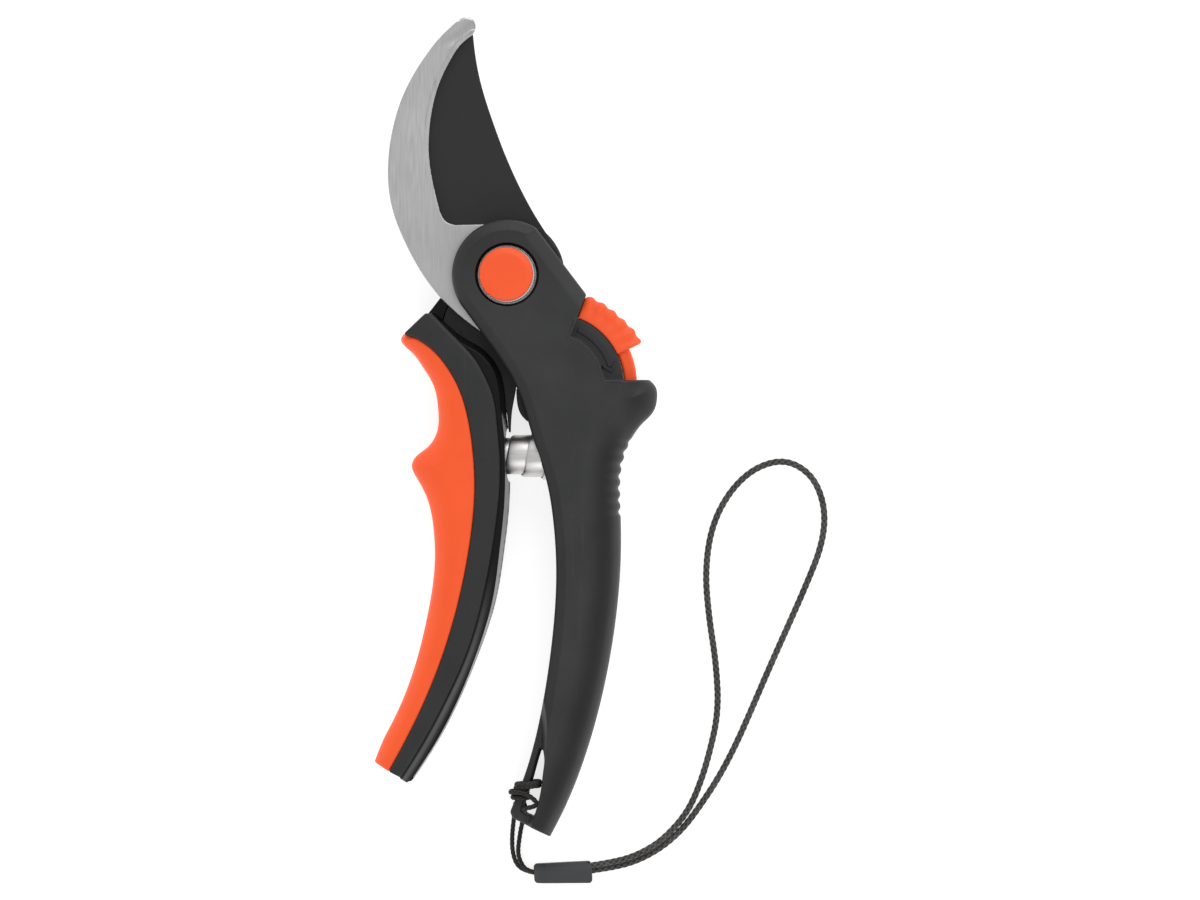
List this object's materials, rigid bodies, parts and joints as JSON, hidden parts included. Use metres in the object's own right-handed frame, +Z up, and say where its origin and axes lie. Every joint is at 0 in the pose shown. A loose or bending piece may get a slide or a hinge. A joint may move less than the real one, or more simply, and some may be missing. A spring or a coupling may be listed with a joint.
{
  "type": "bypass pruner",
  "caption": "Hand pruner with a coated cutting blade passing a steel hook blade, volute spring, thumb slide lock and wrist lanyard",
  "frame": {"origin": "on the resting surface, under the middle of the tool without its lanyard", "axes": "+X to the right across the handles, +Y towards the blade tips, +Z up through the pivot bolt from back to front"},
  "size_m": [0.1188, 0.2279, 0.019],
  "materials": {
    "black_plastic": "fine matte texture",
    "core_plastic": "smooth, half gloss",
    "orange_grip": "soft, silky matte",
    "orange_plastic": "fine satin",
    "satin_steel": "satin, lightly polished",
    "spring_steel": "bright cold-rolled strip",
    "brass": "turned",
    "coated_blade": "dark low-friction coating",
    "rubber": "matte",
    "clip_plastic": "moulded, matte",
    "cord_fabric": "tight thin braid",
    "strap_fabric": "chevron braid"
  },
  "bodies": {
    "fixed_handle": {"fixed_handle_front_shell": "black_plastic", "fixed_handle_back_shell": "black_plastic", "hook_blade": "satin_steel", "hook_rivets": "satin_steel", "handle_screws": "satin_steel", "closing_bumper": "rubber", "lock_pin": "satin_steel", "lock_detent_spring": "spring_steel", "pivot_bolt": "satin_steel", "thrust_washer": "satin_steel", "spring_washer": "spring_steel", "return_spring": "spring_steel", "cord_clip": "clip_plastic", "tie_knot": "cord_fabric", "tie_cord": "cord_fabric", "wrist_strap": "strap_fabric"},
    "tension_nut": {"pivot_nut": "satin_steel", "pivot_cap": "orange_plastic"},
    "lock": {"lock_lever": "satin_steel", "lock_slider": "orange_plastic"},
    "moving_handle": {"cutting_blade": "coated_blade", "blade_bushing": "brass", "moving_handle_core": "core_plastic", "moving_handle_shell": "black_plastic", "moving_handle_grip": "orange_grip", "blade_rivets": "satin_steel"}
  },
  "joints": [
    {"name": "pivot", "type": "hinge", "parent": "fixed_handle", "child": "moving_handle", "pos_m": [-0.0025, 0.0398, 0.0075], "axis": [0, 0, -1], "range_deg": [0, 24], "deforming": ["return_spring"]},
    {"name": "lock_slide", "type": "hinge", "parent": "fixed_handle", "child": "lock", "pos_m": [0.0097, 0.0111, 0.0075], "axis": [0, 0, -1], "range_deg": [0, 20]},
    {"name": "nut_turn", "type": "hinge", "parent": "fixed_handle", "child": "tension_nut", "pos_m": [-0.0025, 0.0398, 0.0145], "axis": [0, 0, 1], "continuous": true}
  ]
}
